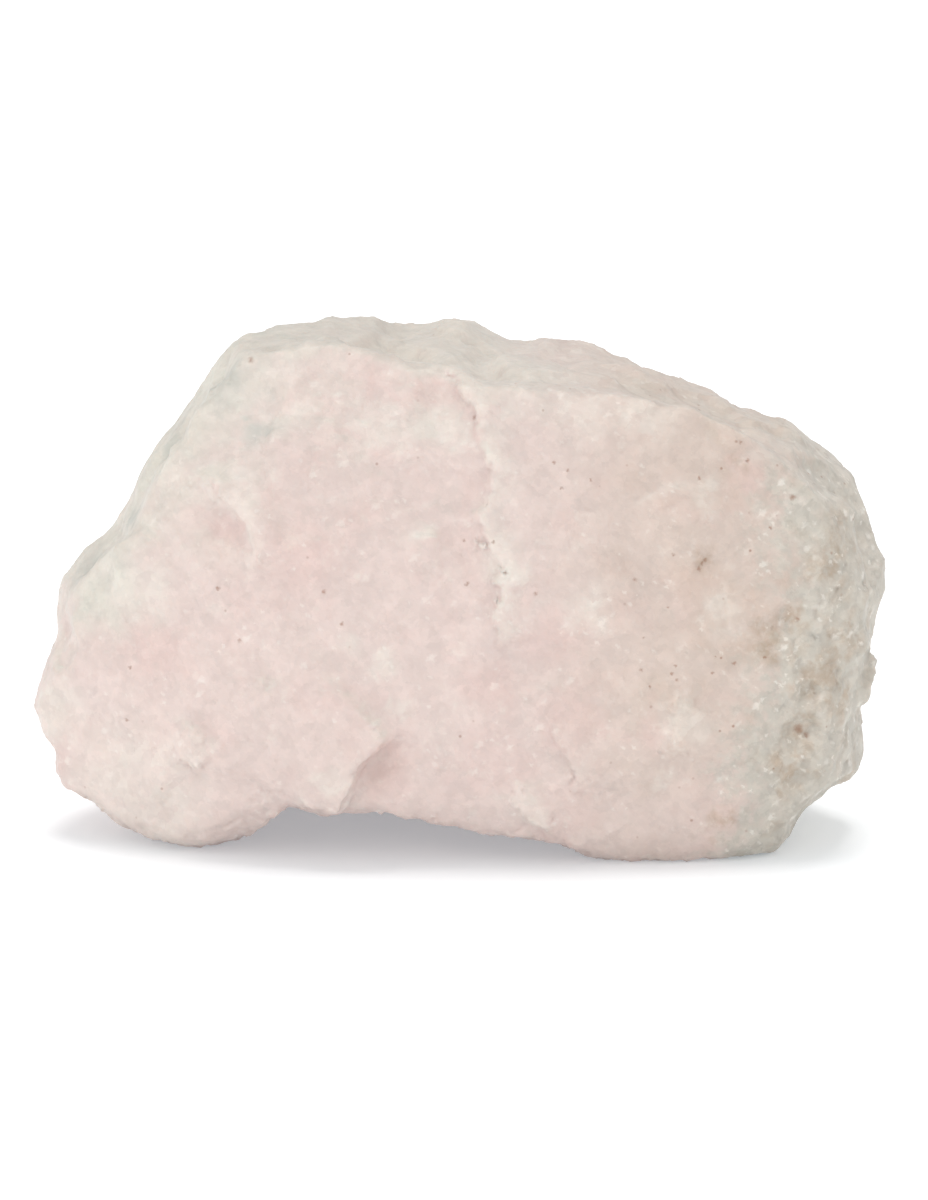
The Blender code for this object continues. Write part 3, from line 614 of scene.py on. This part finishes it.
def massive_calcite(colours, specks):
    """Massive manganoan calcite, broken by hand: waxy, translucent and grained with cleavage."""
    material = bpy.data.materials.new("massive_manganoan_calcite")
    material.use_nodes = True
    tree = material.node_tree
    tree.nodes.clear()
    place = add(tree, "ShaderNodeTexCoord").outputs["Object"]
    mm = add(tree, "ShaderNodeMapping", {"Vector": place, "Scale": (1000.0, 1000.0, 1000.0)})
    zones = {name: add(tree, "ShaderNodeAttribute", attribute_name=name).outputs["Fac"] for name in ZONES}

    # the same places moved this way and that, for ragged little shapes
    uneven = add(tree, NOISE, {"Vector": mm, "Scale": 3.0, "Detail": 1.0}).outputs["Color"]
    shifted = add(tree, VECTOR, {0: uneven, 1: (UNEVEN, UNEVEN, UNEVEN), 2: mm}, operation="MULTIPLY_ADD")

    mottle = cloud(tree, mm, size=2.6, seed=47.0, detail=4.0, roughness=0.65)
    crust = ragged_crust(tree, mm, zones)
    tone = stained_body(tree, mm, mottle, crust, zones, colours)
    tone, bright = cleaved(tree, mm, shifted, mottle, crust, zones, colours, tone)
    tone = specked(tree, mm, shifted, specks, zones, colours, tone)

    # waxy where it is massive, duller in the crust; the cleavage flecks glint
    waxy = add(tree, RANGE, {0: cloud(tree, mm, size=2.2, seed=73.0),
                             1: 0.3, 2: 0.7, 3: 0.42, 4: 0.6}, **SMOOTH)
    dull = add(tree, MATH, {0: zones["crust"], 1: 0.12}, operation="MULTIPLY")
    rough = add(tree, MATH, {0: waxy, 1: dull}, operation="ADD")
    glint = add(tree, MATH, {0: bright, 1: 0.16}, operation="MULTIPLY")
    rough = add(tree, MATH, {0: rough, 1: glint}, operation="SUBTRACT")

    # relief finer than the mesh: the grit of crystal faces under half a millimetre
    grit = cloud(tree, mm, size=0.6, seed=83.0, roughness=0.6)
    bump = add(tree, "ShaderNodeBump", {"Height": grit, "Strength": 0.22, "Distance": 0.25 * MM})

    surface = add(tree, "ShaderNodeBsdfPrincipled", {
        "Base Color": tone, "Roughness": rough, "Normal": bump, "IOR": 1.6,
        "Subsurface Weight": 0.3, "Subsurface Radius": (1.0, 0.75, 0.65), "Subsurface Scale": 1.6 * MM,
    })
    output = add(tree, "ShaderNodeOutputMaterial", {"Surface": surface})
    output.is_active_output = True
    return material


# --- stage -----------------------------------------------------------------------------------


def lit_sheet(glow):
    """A matt white acrylic sheet lit coolly from below, so that it vanishes into the white room and
    the stone's warm light doesn't tint its shadow."""
    material = bpy.data.materials.new("backlit_acrylic")
    material.use_nodes = True
    surface = material.node_tree.nodes["Principled BSDF"]
    surface.inputs["Base Color"].default_value = opaque(linear("#F4F4F4"))
    surface.inputs["Roughness"].default_value = 0.9
    surface.inputs["Specular IOR Level"].default_value = 0.1
    surface.inputs["Emission Color"].default_value = opaque(linear("#E9F4FD"))
    surface.inputs["Emission Strength"].default_value = glow
    return material


def aim(thing, at):
    thing.rotation_mode = "QUATERNION"
    thing.rotation_quaternion = (Vector(at) - thing.location).to_track_quat("-Z", "Y")


def soft_light(name, strength, azimuth, elevation, spread):
    """A broad light far away: its azimuth from the front, its elevation and its width, in degrees."""
    azimuth, elevation = math.radians(azimuth), math.radians(elevation)
    flat = math.cos(elevation)
    place = (math.sin(azimuth) * flat, -math.cos(azimuth) * flat, math.sin(elevation))
    bpy.ops.object.light_add(type="SUN", location=place)
    light = bpy.context.active_object
    light.name = name
    light.data.energy = strength
    light.data.angle = math.radians(spread)
    aim(light, (0.0, 0.0, 0.0))
    return light


class OBJECT_OT_calcite_lump(bpy.types.Operator):
    """Works the calcite lump and gives it its finish"""

    bl_idname = "object.calcite_lump"
    bl_label = "Calcite Lump"
    bl_options = {"REGISTER", "UNDO"}

    def execute(self, context):
        stone = work_stone(context.scene.calcite_form)
        context.view_layer.update()
        specks = [(onto_front(stone, across, up), radius) for across, up, radius in SPECKS]
        stone.data.materials.append(massive_calcite(context.scene.calcite_colours, specks))
        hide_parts(NODE)
        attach(stone, "root")
        return {"FINISHED"}


class OBJECT_OT_calcite_studio(bpy.types.Operator):
    """Adds the white floor, the soft light and the camera"""

    bl_idname = "object.calcite_studio"
    bl_label = "White Studio"
    bl_options = {"REGISTER", "UNDO"}

    def execute(self, context):
        studio = context.scene.calcite_studio
        bpy.ops.mesh.primitive_plane_add(size=FLOOR_SIZE, location=(0.0, 0.0, 0.0))
        floor = context.active_object
        floor.name = "floor"
        floor.data.materials.append(lit_sheet(studio.glow))

        world = bpy.data.worlds.new("white_room")
        context.scene.world = world
        world.use_nodes = True
        background = world.node_tree.nodes["Background"]
        background.inputs["Color"].default_value = (1.0, 1.0, 1.0, 1.0)
        background.inputs["Strength"].default_value = studio.sky
        key_light = soft_light("key_light", studio.key, *KEY_PLACE)
        table_light = soft_light("table_light", studio.table, *TABLE_PLACE)
        # the key light passes the floor by, and the table light is for the floor alone
        for light, state in ((key_light, "EXCLUDE"), (table_light, "INCLUDE")):
            group = bpy.data.collections.new(light.name + "_floor")
            group.objects.link(floor)
            group.collection_objects[0].light_linking.link_state = state
            light.light_linking.receiver_collection = group

        bpy.ops.object.camera_add()
        camera = context.active_object
        away = Vector((0.0, -math.cos(studio.elevation), math.sin(studio.elevation)))
        camera.location = VIEW_MIDDLE + away * studio.distance
        camera.data.lens = studio.lens
        camera.data.sensor_width = SENSOR_WIDTH
        aim(camera, VIEW_MIDDLE)
        context.scene.camera = camera
        context.scene.view_settings.view_transform = "Standard"
        return {"FINISHED"}


class VIEW3D_PT_calcite(bpy.types.Panel):
    """The specimen's pieces and settings"""

    bl_label = "Manganoan Calcite"
    bl_idname = "VIEW3D_PT_calcite"
    bl_space_type = "VIEW_3D"
    bl_region_type = "UI"
    bl_category = "Calcite"

    def draw(self, context):
        for operator, groups in ((OBJECT_OT_calcite_lump, ("calcite_form", "calcite_colours")),
                                 (OBJECT_OT_calcite_studio, ("calcite_studio",))):
            box = self.layout.box()
            box.operator(operator.bl_idname)
            for settings in (getattr(context.scene, group) for group in groups):
                for name in settings.bl_rna.properties.keys():
                    if name not in {"rna_type", "name"}:
                        box.prop(settings, name)


CLASSES = (CalciteForm, CalciteColours, CalciteStudio,
           OBJECT_OT_calcite_lump, OBJECT_OT_calcite_studio, VIEW3D_PT_calcite)
GROUPS = {"calcite_form": CalciteForm, "calcite_colours": CalciteColours, "calcite_studio": CalciteStudio}


def register():
    for cls in CLASSES:
        bpy.utils.register_class(cls)
    for name, group in GROUPS.items():
        setattr(bpy.types.Scene, name, bpy.props.PointerProperty(type=group))


def unregister():
    for name in GROUPS:
        delattr(bpy.types.Scene, name)
    for cls in reversed(CLASSES):
        bpy.utils.unregister_class(cls)


def main():
    register()
    bpy.ops.object.calcite_lump()
    bpy.ops.object.calcite_studio()


if __name__ == "__main__":
    main()
